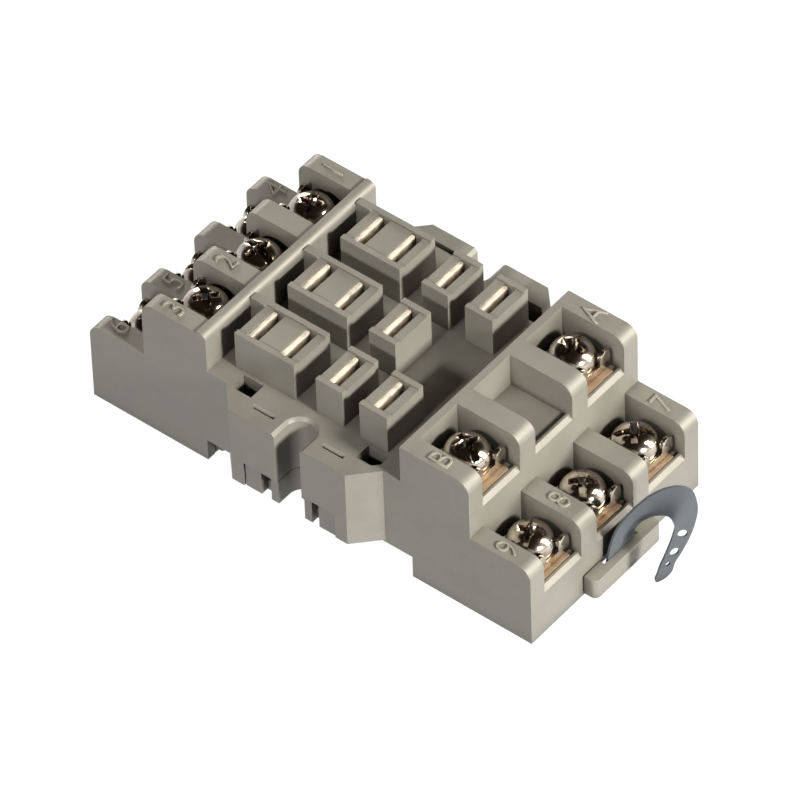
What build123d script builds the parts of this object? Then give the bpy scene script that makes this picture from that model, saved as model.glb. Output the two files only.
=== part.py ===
"""Relay socket with eleven screw terminals, for a 35 mm rail or a panel.

Millimetres. The origin is the middle of the rail seat, the flat underside between the two feet.
+X runs along the socket to the end with the rail latch, +Y across it, +Z up to the relay.
"""

import os

from build123d import *

os.makedirs("parts", exist_ok=True)

# Housing, outside sizes
body_length = 80.0
body_width = 38.4
channel_width = 37.4
foot_depth = 4.0
lower_tier_top = 10.7
upper_tier_top = 21.4
ridge_rise = 0.3
deck_top = 14.5
lower_run_right = 10.7
upper_run_right = 12.3
lower_run_left = 10.2
upper_run_left = 11.8
open_corner_right = 2.0
open_corner_left = 2.2
ridge_corner = 1.1
skirt = 1.6

# Rows of terminals and the pockets that hold them
outer_wall = 3.1
inner_wall = 3.5
pocket_depth = 6.4
lip_rise = 0.35
lip_thickness = 1.05
lip_bevel = 0.65
back_wall_right = 1.2
back_wall_left = 1.65
blank_floor_rise = 0.4
blank_lip_rise = 0.9
screw_setback_right_upper = 6.1
screw_setback_right_lower = 5.8
screw_setback_left_upper = 5.8
screw_setback_left_lower = 5.6

# Blade blocks on the deck
block_margin = 0.3
double_block_length = 10.8
double_block_x = -9.97
single_block_length = 4.8
single_block_x = 1.78
coil_block_length = 5.0
coil_block_x = 9.72
slot_pitch = 5.9
slot_width = 2.0
rim_width = 0.9
rim_height = 0.35
web_thickness = 1.3

# Ears with the panel screw notches
ear_x = -0.35
ear_reach = 3.9
ear_half_length = 10.5
ear_bevel_run = 3.7
ear_bottom = 0.4
notch_width = 4.66
notch_depth = 5.2
notch_bevel = 0.5
notch_wall_bottom = 4.65
square_hole_length = 3.7
square_hole_width = 2.9
square_hole_x = 11.35
square_hole_inset = 5.2
square_hole_corner = 1.0
square_hole_bottom = 3.5
slit_length = 4.0
slit_width = 0.45
slit_bevel = 0.45
slit_depth = 5.0
slit_x = 6.25
slit_inset = 2.8
window_inner = 3.8
window_outer = 8.3
window_top = 5.0
tab_inner = 5.2
tab_step = 0.2

# Hollows inside the housing
channel_clearance = 0.3
deck_thickness = 1.5
channel_end_wall = 0.85
well_wall = 0.65
strip_gap = 0.1
through = 1.0

# Base plate
plate_thickness = 2.0
plate_clearance = 0.15
plate_end_gap = 0.15
foot_wall = 1.6
hook_reach = 2.1
hook_thickness = 1.7
hook_top_gap = 1.4
hook_width = 11.0
rib_thickness = 1.6
rib_x = 24.0
boss_wall = 1.4
boss_recess = 0.5

# Contact strips
strip_thickness = 0.6
strip_side_gap = 0.15
strip_bend = 0.7
run_drop = 1.3
leaf_top_gap = 0.15
spring_leaf_drop = 0.9
leaf_wall_gap = 0.05
fork_seat = 0.6
finger_gap = 0.6
finger_length = 5.0
collar_radius = 2.2
collar_height = 1.4
collar_gap = 0.25

# Screws and clamp plates
thread_radius = 1.7
thread_clearance = 0.05
shank_length = 5.6
head_radius = 3.6
head_height = 3.3
head_bevel_run = 1.1
head_bevel_drop = 1.2
slot_cut_width = 1.05
slot_cut_depth = 1.0
cross_length = 4.2
cross_width = 1.05
cross_depth = 2.0
cross_taper = 20.0
clamp_thickness = 1.4
clamp_length = 7.9
clamp_side_gap = 0.4
clamp_corner = 0.8
lobe_width = 2.4
lobe_height = 2.1
lobe_thickness = 0.55
clamp_hole_gap = 0.3

# Rail latch, its spring and the strap
latch_half_width = 6.0
latch_thickness = 2.6
latch_gap = 0.15
latch_nose = 2.3
nose_thickness = 1.9
nose_half_width = 5.0
tab_half_width = 7.5
tab_reach = 2.25
tab_height = 3.5
tab_bottom_gap = 0.5
tab_corner = 0.9
tab_face_gap = 0.15
window_half_width = 3.8
window_length = 2.0
tab_wall = 1.4
guide_lip = 0.9
guide_lip_thickness = 0.6
guide_wall = 1.5
spring_share = 0.75
post_setback = 1.95
spring_half_width = 1.9
spring_thickness = 0.3
spring_height = 1.8
spring_folds = 4
post_thickness = 1.2
strap_thickness = 0.35
strap_width = 6.0
strap_tip_width = 3.0
strap_bottom_gap = 0.6
strap_taper_top = 4.0

# Side view of the strap: points counted from its lower end, the bend at each inner point, and its holes
strap_points = (
    (0.0, 0.0),
    (0.0, 3.6),
    (1.4, 10.6),
    (4.2, 16.4),
    (10.3, 20.6),
    (11.9, 17.6),
    (9.4, 8.2),
    (7.0, 2.4),
    (6.1, 0.0),
)
strap_bends = (3.0, 8.0, 8.0, 1.6, 3.0, 14.0, 3.0)
strap_holes = ((10.9, 14.0, 0.95, 1.5), (9.7, 9.5, 0.95, 1.5), (8.5, 5.6, 0.45, 0.8))
strap_hole_tilt = 0.25

# Worked out from the sizes above
ridge_top = upper_tier_top + ridge_rise
block_top = upper_tier_top
channel_ceiling = deck_top - deck_thickness
half_length = body_length / 2
half_width = body_width / 2
half_channel = channel_width / 2
foot_bottom = -foot_depth
upper_face_right = half_length - lower_run_right
deck_end_right = upper_face_right - upper_run_right
upper_face_left = -half_length + lower_run_left
deck_end_left = upper_face_left + upper_run_left
back_right = deck_end_right + back_wall_right
back_left = deck_end_left - back_wall_left
lower_floor = lower_tier_top - pocket_depth
upper_floor = upper_tier_top - pocket_depth
pocket_width = (body_width - 2 * outer_wall - 2 * inner_wall) / 3
row_pitch = pocket_width + inner_wall
block_width = pocket_width - block_margin
slot_length = block_width - 2 * rim_width
strip_width = slot_length - 2 * strip_side_gap
clamp_width = pocket_width - 2 * clamp_side_gap
rows = (-row_pitch, 0.0, row_pitch)
channel_right = upper_face_right - channel_end_wall
channel_left = upper_face_left + channel_end_wall
channel_row_width = strip_width + 2 * channel_clearance
ear_outer = half_width + ear_reach
notch_radius = notch_width / 2
notch_floor = ear_outer - notch_depth
square_hole_y = ear_outer - square_hole_inset
slit_y = ear_outer - slit_inset
plate_top = plate_thickness
recess_top = plate_top + plate_clearance
shank_bottom = lower_floor + strip_thickness + clamp_thickness - shank_length
well_bottom = shank_bottom - plate_clearance
hollow_top = well_bottom - well_wall
well_radius = collar_radius + collar_gap
post_x = upper_face_right - post_setback
spring_start = post_x - spring_share * (post_x - half_channel - foot_wall)
spring_length = post_x - spring_start
outer_slot_x = double_block_x - slot_pitch / 2
inner_slot_x = double_block_x + slot_pitch / 2
run_height = channel_ceiling - run_drop

# Each tier: open face, back of the pocket, floor, setback of the screw from the open face
tiers = {
    "right_upper": (upper_face_right, back_right, upper_floor, screw_setback_right_upper),
    "right_lower": (half_length, upper_face_right, lower_floor, screw_setback_right_lower),
    "left_upper": (upper_face_left, back_left, upper_floor, screw_setback_left_upper),
    "left_lower": (-half_length, upper_face_left, lower_floor, screw_setback_left_lower),
}

# Each terminal: tier, row, the blade slot that its strip serves
terminals = {
    "1": ("left_upper", row_pitch, outer_slot_x),
    "2": ("left_upper", 0.0, outer_slot_x),
    "3": ("left_upper", -row_pitch, outer_slot_x),
    "4": ("left_lower", row_pitch, inner_slot_x),
    "5": ("left_lower", 0.0, inner_slot_x),
    "6": ("left_lower", -row_pitch, inner_slot_x),
    "7": ("right_lower", row_pitch, single_block_x),
    "8": ("right_lower", 0.0, single_block_x),
    "9": ("right_lower", -row_pitch, single_block_x),
    "a": ("right_upper", row_pitch, coil_block_x),
    "b": ("right_upper", -row_pitch, coil_block_x),
}


def side_plane(x, y, z):
    """An XZ drawing plane with its origin at a point."""
    return Plane(origin=(x, y, z), x_dir=(1, 0, 0), z_dir=(0, -1, 0))


def block(x_low, x_high, y_low, y_high, z_low, z_high, mode=Mode.ADD):
    """A rectangular block between two corners, added to or cut from the part being built."""
    middle = ((x_low + x_high) / 2, (y_low + y_high) / 2, (z_low + z_high) / 2)
    with Locations(middle):
        Box(abs(x_high - x_low), abs(y_high - y_low), abs(z_high - z_low), mode=mode)


def row_blocks(x_low, x_high, width, z_low, z_high, at, mode=Mode.ADD, shift=0.0):
    """The same block on each of several rows, centred on the row or shifted across it."""
    middle_x, middle_z = (x_low + x_high) / 2, (z_low + z_high) / 2
    with Locations(*[(middle_x, row + shift, middle_z) for row in at]):
        Box(abs(x_high - x_low), width, z_high - z_low, mode=mode)


def ear_blocks(x_low, x_high, y_low, y_high, z_low, z_high, mode=Mode.ADD):
    """The same block at both ends of both ears, its x counted from the middle of the ear."""
    middle_x, middle_y = (x_low + x_high) / 2, (y_low + y_high) / 2
    corners = [(ear_x + hand * middle_x, way * middle_y) for hand in (-1, 1) for way in (-1, 1)]
    with Locations(*[(x, y, (z_low + z_high) / 2) for x, y in corners]):
        Box(x_high - x_low, y_high - y_low, z_high - z_low, mode=mode)


def cut_notches(bottom, top):
    """Cut the round-ended screw notch through both ears between two heights."""
    with BuildSketch(Plane.XY.offset(bottom)) as notches:
        for way in (-1, 1):
            with Locations((ear_x, way * (notch_floor + notch_radius))):
                Circle(notch_radius)
            with Locations((ear_x, way * (notch_floor + notch_radius + ear_reach))):
                Rectangle(notch_width, 2 * ear_reach)
    extrude(notches.sketch, amount=top - bottom, mode=Mode.SUBTRACT)


def cut_square_holes():
    """Cut the four blind holes of the ears, each with the corner towards the ear's bevel taken off."""
    far_x, far_y = square_hole_length / 2, square_hole_width / 2
    with BuildSketch(Plane.XY.offset(square_hole_bottom)) as holes:
        for hand in (-1, 1):
            for way in (-1, 1):
                middle_x, middle_y = ear_x + hand * square_hole_x, way * square_hole_y
                with BuildLine():
                    Polyline(
                        (middle_x - hand * far_x, middle_y - way * far_y),
                        (middle_x + hand * far_x, middle_y - way * far_y),
                        (middle_x + hand * far_x, middle_y + way * (far_y - square_hole_corner)),
                        (middle_x + hand * (far_x - square_hole_corner), middle_y + way * far_y),
                        (middle_x - hand * far_x, middle_y + way * far_y),
                        close=True,
                    )
                make_face()
    extrude(holes.sketch, amount=deck_top - square_hole_bottom, mode=Mode.SUBTRACT)


def outward(tier):
    """+1 for a tier that opens towards +X, -1 for one that opens towards -X."""
    open_face, back, floor, setback = tiers[tier]
    return 1 if open_face > back else -1


def screw_centre(tier):
    """X of a tier's screws."""
    open_face, back, floor, setback = tiers[tier]
    return open_face - outward(tier) * setback


def cut_pockets(tier, at, floor_rise, lip_height):
    """Open the pockets of one tier: a sunk floor behind a bevelled lip, open above and at the outer face."""
    open_face, back, floor, setback = tiers[tier]
    way = outward(tier)
    sky = ridge_top + through
    behind_lip = open_face - way * lip_thickness
    row_blocks(back, behind_lip, pocket_width, floor + floor_rise, sky, at, Mode.SUBTRACT)
    row_blocks(back, open_face + way * through, pocket_width, floor + lip_height, sky, at, Mode.SUBTRACT)
    for row in at:
        with BuildSketch(side_plane(open_face, row, floor + lip_height)) as bevel:
            with BuildLine():
                Polyline((-way * lip_bevel, 0), (way * through, -lip_bevel - through), (way * through, 0),
                         close=True)
            make_face()
        extrude(bevel.sketch, amount=pocket_width / 2, both=True, mode=Mode.SUBTRACT)


def tier_rows(tier):
    """The rows of a tier that hold a terminal."""
    return [row for home, row, slot in terminals.values() if home == tier]


def build_housing():
    """The moulding: two stepped terminal blocks, the deck with its blade blocks, and the ears."""
    with BuildPart() as housing:
        with BuildSketch(Plane.XZ):
            with BuildLine():
                Polyline(
                    (-half_length, foot_bottom),
                    (-half_channel, foot_bottom),
                    (-half_channel, 0),
                    (half_channel, 0),
                    (half_channel, foot_bottom),
                    (half_length, foot_bottom),
                    (half_length, lower_tier_top),
                    (upper_face_right, lower_tier_top),
                    (upper_face_right, upper_tier_top),
                    (deck_end_right, upper_tier_top),
                    (deck_end_right, deck_top),
                    (deck_end_left, deck_top),
                    (deck_end_left, ridge_top),
                    (back_left, ridge_top),
                    (back_left, upper_tier_top),
                    (upper_face_left, upper_tier_top),
                    (upper_face_left, lower_tier_top),
                    (-half_length, lower_tier_top),
                    close=True,
                )
            make_face()
            corners = (
                (half_length, lower_tier_top, open_corner_right),
                (upper_face_right, upper_tier_top, open_corner_right),
                (upper_face_left, upper_tier_top, open_corner_left),
                (-half_length, lower_tier_top, open_corner_left),
                (deck_end_left, ridge_top, ridge_corner),
            )
            for corner_x, corner_z, radius in corners:
                fillet(vertices().sort_by_distance((corner_x, corner_z))[0], radius)
        extrude(amount=half_width, both=True)

        # Ears on both sides, bevelled at their ends
        with BuildSketch(Plane.XY.offset(ear_bottom)):
            for way in (-1, 1):
                with BuildLine():
                    Polyline(
                        (ear_x - ear_half_length - ear_bevel_run, way * (half_width - skirt)),
                        (ear_x - ear_half_length - ear_bevel_run, way * half_width),
                        (ear_x - ear_half_length, way * ear_outer),
                        (ear_x + ear_half_length, way * ear_outer),
                        (ear_x + ear_half_length + ear_bevel_run, way * half_width),
                        (ear_x + ear_half_length + ear_bevel_run, way * (half_width - skirt)),
                        close=True,
                    )
                make_face()
        extrude(amount=deck_top - ear_bottom)

        # Blade blocks: double ones for the fixed contacts, single ones for the moving contacts and the coil
        sides = (rows[0], rows[-1])
        blocks = (
            (double_block_x, double_block_length, rows),
            (single_block_x, single_block_length, rows),
            (coil_block_x, coil_block_length, sides),
        )
        for middle, length, at in blocks:
            row_blocks(middle - length / 2, middle + length / 2, block_width, deck_top, block_top, at)
        double_end = double_block_x - double_block_length / 2
        row_blocks(deck_end_left, double_end, web_thickness, deck_top, block_top, rows,
                   shift=(block_width - web_thickness) / 2)
        coil_end = coil_block_x + coil_block_length / 2
        row_blocks(double_end, coil_end, slot_length, block_top - rim_height, block_top, rows, Mode.SUBTRACT)

        # Terminal pockets; the middle one of the upper right tier holds no terminal
        for tier in tiers:
            cut_pockets(tier, tier_rows(tier), 0, lip_rise)
        cut_pockets("right_upper", [0.0], blank_floor_rise, blank_lip_rise)

        # Blade slots down to the row channels, and the channels, open below
        with BuildSketch(Plane.XY.offset(channel_ceiling - through)):
            with Locations(*[(slot, row) for tier, row, slot in terminals.values()]):
                Rectangle(slot_width, slot_length)
        extrude(amount=block_top, mode=Mode.SUBTRACT)
        row_blocks(channel_left, channel_right, channel_row_width, 0, channel_ceiling, rows, Mode.SUBTRACT)

        # Where each strip leaves its pocket, and the well under each screw
        passage = strip_width + 2 * strip_gap
        for tier, (open_face, back, floor, setback) in tiers.items():
            way = outward(tier)
            if floor == upper_floor:
                far = back + way * (2 * strip_gap + strip_thickness + strip_bend)
                bottom = channel_ceiling - through
                row_blocks(back, far, passage, bottom, floor, tier_rows(tier), Mode.SUBTRACT)
            else:
                far = back - way * (channel_end_wall + through)
                bottom = well_bottom
                row_blocks(back, far, passage, floor, floor + strip_thickness + strip_gap, tier_rows(tier),
                           Mode.SUBTRACT)
            with Locations(*[(screw_centre(tier), row, bottom) for row in tier_rows(tier)]):
                Cylinder(well_radius, floor - bottom, align=(Align.CENTER, Align.CENTER, Align.MIN),
                         mode=Mode.SUBTRACT)

        # Underside: room for the base plate, hollow feet beyond it, and the way out of the latch
        inner_y = half_width - skirt
        inner_x = half_length - skirt
        block(upper_face_left, upper_face_right, -inner_y, inner_y, foot_bottom, recess_top, Mode.SUBTRACT)
        block(-inner_x, inner_x, -inner_y, inner_y, foot_bottom, hollow_top, Mode.SUBTRACT)
        reach = latch_half_width + plate_clearance
        block(0, half_length + through, -reach, reach, foot_bottom, hollow_top, Mode.SUBTRACT)

        # Ears: recess for the plate and its notch boss, snap windows, square holes, slits and screw notches
        lobe = ear_outer - skirt
        ear_blocks(0, window_outer, inner_y - through, lobe, 0, recess_top, Mode.SUBTRACT)
        notch_reach = notch_radius + boss_wall + plate_clearance
        notch_back = notch_floor - boss_wall
        ear_blocks(0, notch_reach, notch_back, ear_outer + through, 0, notch_wall_bottom, Mode.SUBTRACT)
        window_back = lobe - 2 * plate_clearance
        ear_blocks(window_inner - through, window_outer, window_back, ear_outer + through, 0, window_top,
                   Mode.SUBTRACT)
        cut_square_holes()
        ear_blocks(slit_x - slit_length / 2, slit_x + slit_length / 2, slit_y, slit_y + slit_width,
                   deck_top - slit_depth, deck_top, Mode.SUBTRACT)
        with BuildSketch(Plane.YZ.offset(ear_x - slit_x - slit_length / 2)):
            for way in (-1, 1):
                with BuildLine():
                    Polyline((way * slit_y, deck_top), (way * (slit_y - slit_bevel), deck_top),
                             (way * slit_y, deck_top - slit_bevel), close=True)
                make_face()
        bevels = extrude(amount=slit_length, mode=Mode.PRIVATE)
        add(bevels, mode=Mode.SUBTRACT)
        add(Pos(2 * slit_x, 0, 0) * bevels, mode=Mode.SUBTRACT)
        cut_notches(ear_bottom - through, deck_top + through)
        rim = edges().filter_by_position(Axis.Z, deck_top - 0.01, deck_top + 0.01)
        rim = rim.filter_by_position(Axis.X, ear_x - notch_radius - 0.01, ear_x + notch_radius + 0.01)
        near = rim.filter_by_position(Axis.Y, -ear_outer, -notch_floor)
        far = rim.filter_by_position(Axis.Y, notch_floor, ear_outer)
        chamfer(near + far, notch_bevel)
    return housing.part


def build_base_plate():
    """The plate that closes the housing below, with the fixed rail hook and the latch guides."""
    inner_y = half_width - skirt - plate_clearance
    left_end = upper_face_left + plate_end_gap
    right_end = upper_face_right - plate_end_gap
    with BuildPart() as plate:
        block(left_end, right_end, -inner_y, inner_y, 0, plate_top)
        lobe = ear_outer - skirt - plate_clearance
        window = window_outer - plate_clearance
        notch_reach = notch_radius + boss_wall
        boss_back = notch_floor - boss_wall + plate_clearance
        ear_blocks(0, window, 0, lobe, 0, plate_top)
        boss_top = notch_wall_bottom - plate_clearance
        ear_blocks(0, notch_reach, boss_back, ear_outer - boss_recess, 0, boss_top)
        ear_blocks(tab_inner, window, lobe, ear_outer - tab_step, ear_bottom, window_top - plate_clearance)
        cut_notches(-through, notch_wall_bottom + through)

        # Walls of the rail channel
        for way in (-1, 1):
            block(way * half_channel, way * (half_channel + foot_wall), -inner_y, inner_y, foot_bottom, 0)

        # Two fixed hooks that take one edge of the rail
        with BuildSketch(Plane.XZ):
            with BuildLine():
                Polyline(
                    (-half_channel, -hook_top_gap),
                    (-half_channel + hook_reach, -hook_top_gap),
                    (-half_channel + hook_reach, -hook_top_gap - hook_thickness / 2),
                    (-half_channel + hook_reach / 2, -hook_top_gap - hook_thickness),
                    (-half_channel, -hook_top_gap - hook_thickness),
                    close=True,
                )
            make_face()
        extrude(amount=inner_y, both=True)
        gap = inner_y - hook_width
        block(-half_channel, -half_channel + hook_reach + through, -gap, gap, foot_bottom, -hook_top_gap / 2,
              Mode.SUBTRACT)

        # Guides of the rail latch: side rails with a lip under the slider
        reach = latch_half_width + latch_gap
        block(half_channel - through, half_channel + foot_wall + through, -reach, reach, foot_bottom, 0,
              Mode.SUBTRACT)
        rail_bottom = -latch_thickness - 2 * latch_gap - guide_lip_thickness
        for way in (-1, 1):
            guide = way * (reach + guide_wall)
            block(half_channel + foot_wall, right_end, way * reach, guide, rail_bottom, 0)
            block(half_channel, right_end, way * (reach - guide_lip), way * reach,
                  rail_bottom, rail_bottom + guide_lip_thickness)

        # Post that the latch spring bears on
        block(post_x, post_x + post_thickness, -spring_half_width, spring_half_width, -latch_thickness, 0)

        # Ribs that carry the long contact strips
        for way in (-1, 1):
            middle = way * rib_x
            thick = rib_thickness / 2
            row_blocks(middle - thick, middle + thick, strip_width, plate_top, lower_floor, rows)
    return plate.part


def build_screw(tier, row):
    """A terminal screw: bevelled head with a cross recess and a straight slot, plain shank."""
    open_face, back, floor, setback = tiers[tier]
    x = screw_centre(tier)
    seat = floor + strip_thickness + clamp_thickness
    with BuildPart() as screw:
        with BuildSketch(side_plane(x, row, seat)):
            with BuildLine():
                Polyline(
                    (0, head_height),
                    (0, -shank_length),
                    (thread_radius, -shank_length),
                    (thread_radius, 0),
                    (head_radius, 0),
                    (head_radius, head_height - head_bevel_drop),
                    (head_radius - head_bevel_run, head_height),
                    close=True,
                )
            make_face()
        revolve(axis=Axis((x, row, seat), (0, 0, 1)))
        top = seat + head_height
        block(x - slot_cut_width / 2, x + slot_cut_width / 2, row - head_radius, row + head_radius,
              top - slot_cut_depth, top + through, Mode.SUBTRACT)
        with BuildSketch(Plane.XY.offset(top)):
            with Locations((x, row)):
                Rectangle(cross_length, cross_width)
                Rectangle(cross_width, cross_length)
        extrude(amount=-cross_depth, taper=cross_taper / 2, mode=Mode.SUBTRACT)
    return screw.part


def build_clamp_plate(tier, row):
    """The square plate under a screw head, with two rounded lobes turned up at its outer edge."""
    open_face, back, floor, setback = tiers[tier]
    way = outward(tier)
    x = screw_centre(tier)
    bottom = floor + strip_thickness
    edge = x + way * clamp_length / 2
    with BuildPart() as clamp:
        with BuildSketch(Plane.XY.offset(bottom)):
            with Locations((x, row)):
                RectangleRounded(clamp_length, clamp_width, clamp_corner)
                Circle(thread_radius + clamp_hole_gap, mode=Mode.SUBTRACT)
        extrude(amount=clamp_thickness)
        for hand in (-1, 1):
            lobe_y = row + hand * (clamp_width - lobe_width) / 2
            plane = Plane(origin=(edge, lobe_y, bottom), x_dir=(0, 1, 0), z_dir=(1, 0, 0))
            with BuildSketch(plane):
                with Locations((0, clamp_thickness / 2)):
                    Rectangle(lobe_width, clamp_thickness)
                with Locations((0, clamp_thickness)):
                    Rectangle(lobe_width, 2 * (lobe_height - lobe_width / 2))
                with Locations((0, clamp_thickness + lobe_height - lobe_width / 2)):
                    Circle(lobe_width / 2)
            extrude(amount=-way * lobe_thickness)
    return clamp.part


def build_contact_strip(tier, row, slot):
    """A bent strip: pad with a tapped collar at the terminal, a flat and a split leaf in the blade slot."""
    open_face, back, floor, setback = tiers[tier]
    way = outward(tier)
    t = strip_thickness
    front = open_face - way * (lip_thickness + strip_gap)
    pad = floor + t / 2
    upper = floor == upper_floor
    level = run_height if upper else pad
    seat = run_height + fork_seat
    leaf = slot_width / 2 - leaf_wall_gap - t / 2
    near, far = slot + way * leaf, slot - way * leaf
    tall_top = block_top - rim_height - leaf_top_gap
    tall, short = slot - leaf, slot + leaf
    short_top = tall_top - spring_leaf_drop
    tops = {tall: tall_top, short: short_top}
    with BuildPart() as strip:
        with BuildSketch(side_plane(0, row, 0)):
            with BuildLine():
                if upper:
                    drop = back + way * (strip_gap + t / 2)
                    FilletPolyline((front, pad), (drop, pad), (drop, level), (far, level), (far, tops[far]),
                                   radius=strip_bend)
                else:
                    FilletPolyline((front, pad), (near, pad), (near, tops[near]), radius=strip_bend)
            trace(line_width=t)
            with BuildLine():
                if upper:
                    Line((near, level), (near, tops[near]))
                else:
                    FilletPolyline((near, seat), (far, seat), (far, tops[far]), radius=strip_bend)
            trace(line_width=t)
        extrude(amount=strip_width / 2, both=True)
        block(short - t, short + t, row - finger_gap / 2, row + finger_gap / 2,
              short_top - finger_length, short_top + through, Mode.SUBTRACT)
        with Locations((screw_centre(tier), row, floor - collar_height)):
            Cylinder(collar_radius, collar_height, align=(Align.CENTER, Align.CENTER, Align.MIN))
            Cylinder(thread_radius + thread_clearance, collar_height + 2 * t,
                     align=(Align.CENTER, Align.CENTER, Align.MIN), mode=Mode.SUBTRACT)
    return strip.part


def build_rail_latch():
    """The slider that grips the rail: nose, flat body, pull tab with the window for a screwdriver."""
    top = -latch_gap
    bottom = top - latch_thickness
    tab_inner_face = half_length + tab_face_gap
    tab_outer_face = tab_inner_face + tab_reach
    with BuildPart() as latch:
        block(half_channel, tab_inner_face, -latch_half_width, latch_half_width, bottom, top)
        with BuildSketch(Plane.XZ):
            with BuildLine():
                Polyline(
                    (half_channel, -hook_top_gap),
                    (half_channel - latch_nose, -hook_top_gap),
                    (half_channel - latch_nose, -hook_top_gap - nose_thickness / 3),
                    (half_channel, -hook_top_gap - nose_thickness),
                    close=True,
                )
            make_face()
        extrude(amount=nose_half_width, both=True)
        with BuildSketch(Plane.XY.offset(foot_bottom + tab_bottom_gap)):
            with Locations(((tab_inner_face + tab_outer_face) / 2, 0)):
                pull = Rectangle(tab_reach, 2 * tab_half_width)
            fillet(pull.vertices().group_by(Axis.X)[-1], tab_corner)
        extrude(amount=tab_height)
        wall = tab_outer_face - tab_wall
        block(wall - window_length, wall, -window_half_width, window_half_width, foot_bottom, through,
              Mode.SUBTRACT)
        block(spring_start, post_x + post_thickness + 2 * plate_clearance,
              -spring_half_width - latch_gap, spring_half_width + latch_gap,
              foot_bottom, through, Mode.SUBTRACT)
    return latch.part


def build_latch_spring():
    """A strip folded to and fro between the latch and the post of the base plate."""
    swing = spring_half_width - spring_thickness
    step = (spring_length - spring_thickness) / spring_folds
    left = spring_start + spring_thickness / 2
    path = [(left, -swing)]
    for fold in range(spring_folds):
        side = swing if fold % 2 == 0 else -swing
        path.append((left + fold * step, side))
        path.append((left + (fold + 1) * step, side))
    path.append((left + spring_folds * step, -path[-1][1]))
    bottom = -latch_gap - latch_thickness / 2 - spring_height / 2
    with BuildPart() as spring:
        with BuildSketch(Plane.XY.offset(bottom)):
            with BuildLine():
                FilletPolyline(*path, radius=step / 2.5)
            trace(line_width=spring_thickness)
        extrude(amount=spring_height)
    return spring.part


def build_strap():
    """The thin strap that stands in the latch window, arches outwards and ends in a narrow tip."""
    root_x = half_length + tab_face_gap + tab_reach - tab_wall - strap_thickness / 2
    bottom = foot_bottom + strap_bottom_gap
    path = [(root_x + x, bottom + z) for x, z in strap_points]
    tip_x = root_x + strap_points[-1][0]
    side = strap_width / 2
    with BuildPart() as strap:
        with BuildSketch(Plane.XZ):
            with BuildLine():
                FilletPolyline(*path, radius=strap_bends)
            trace(line_width=strap_thickness)
        extrude(amount=side, both=True)
        with BuildSketch(Plane(origin=(tip_x - through, 0, 0), x_dir=(0, 1, 0), z_dir=(1, 0, 0))):
            for way in (-1, 1):
                with BuildLine():
                    Polyline((way * (side + through), strap_taper_top), (way * side, strap_taper_top),
                             (way * strap_tip_width / 2, bottom - through),
                             (way * (side + through), bottom - through), close=True)
                make_face()
        extrude(amount=strap_points[-2][0], mode=Mode.SUBTRACT)
        for hole_x, hole_z, across, along in strap_holes:
            origin = (root_x + hole_x, 0, bottom + hole_z)
            with BuildSketch(Plane(origin=origin, x_dir=(0, 1, 0), z_dir=(1, 0, -strap_hole_tilt))):
                Ellipse(across, along)
            extrude(amount=2 * through, both=True, mode=Mode.SUBTRACT)
    return strap.part


def write(part, name):
    """Label a finished piece and write its file."""
    part.label = name
    export_step(part, f"parts/{name}.step")


write(build_housing(), "housing")
write(build_base_plate(), "base_plate")
write(build_rail_latch(), "rail_latch")
write(build_latch_spring(), "latch_spring")
write(build_strap(), "hold_down_strap")
for number, (tier, row, slot) in terminals.items():
    write(build_screw(tier, row), f"screw_{number}")
    write(build_clamp_plate(tier, row), f"clamp_plate_{number}")
    write(build_contact_strip(tier, row, slot), f"contact_strip_{number}")
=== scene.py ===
"""Dressed model of a relay socket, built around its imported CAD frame.

Everything is in metres in the frame of the CAD model: the origin is the middle of the rail seat, +X runs
to the end with the rail latch and +Z up to the relay.
"""

import logging
from dataclasses import dataclass, field
from enum import Enum
from math import cos, pi, radians, sin

import bmesh
import bpy
from mathutils import Matrix, Vector


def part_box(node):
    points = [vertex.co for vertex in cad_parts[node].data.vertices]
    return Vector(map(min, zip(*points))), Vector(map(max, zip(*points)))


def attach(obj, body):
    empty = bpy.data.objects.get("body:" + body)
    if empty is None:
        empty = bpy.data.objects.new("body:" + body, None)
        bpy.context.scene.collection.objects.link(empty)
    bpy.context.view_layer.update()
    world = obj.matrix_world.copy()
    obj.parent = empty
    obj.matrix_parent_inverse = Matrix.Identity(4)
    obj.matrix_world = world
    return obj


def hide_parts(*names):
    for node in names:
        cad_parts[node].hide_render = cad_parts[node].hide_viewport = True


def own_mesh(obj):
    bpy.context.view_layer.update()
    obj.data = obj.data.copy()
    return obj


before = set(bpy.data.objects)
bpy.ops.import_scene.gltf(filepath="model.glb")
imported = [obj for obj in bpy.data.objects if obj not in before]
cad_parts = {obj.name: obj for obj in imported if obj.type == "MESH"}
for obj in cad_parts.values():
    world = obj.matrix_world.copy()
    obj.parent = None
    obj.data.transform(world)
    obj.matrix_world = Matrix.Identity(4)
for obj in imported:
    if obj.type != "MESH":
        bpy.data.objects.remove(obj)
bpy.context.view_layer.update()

log = logging.getLogger("relay_socket")

Point = tuple[float, float, float]
MM = 0.001
MERGE_MM = 0.0005
FLAT_DEGREES = 0.8
SMOOTH_DEGREES = 28
OCCLUSION_SAMPLES = 6

# How far each screw is turned in degrees, and where each figure stands in mm
SCREW_TURNS = {"1": 20, "2": 75, "3": 50, "4": 10, "5": 100, "6": 60, "7": 130, "8": 40, "9": 20, "a": 0, "b": 65}
FIGURES = {
    "1": (-24.35, 17.7, 21.4), "2": (-24.8, -5.8, 21.4), "3": (-24.9, -17.4, 21.4),
    "4": (-35.6, 17.7, 10.7), "5": (-35.4, -5.6, 10.7), "6": (-36.0, -17.2, 10.7),
    "A": (22.8, 17.6, 21.4), "B": (23.4, -17.6, 21.4),
    "7": (35.0, 17.6, 10.7), "8": (34.9, -5.8, 10.7), "9": (34.9, -17.6, 10.7),
}


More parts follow.
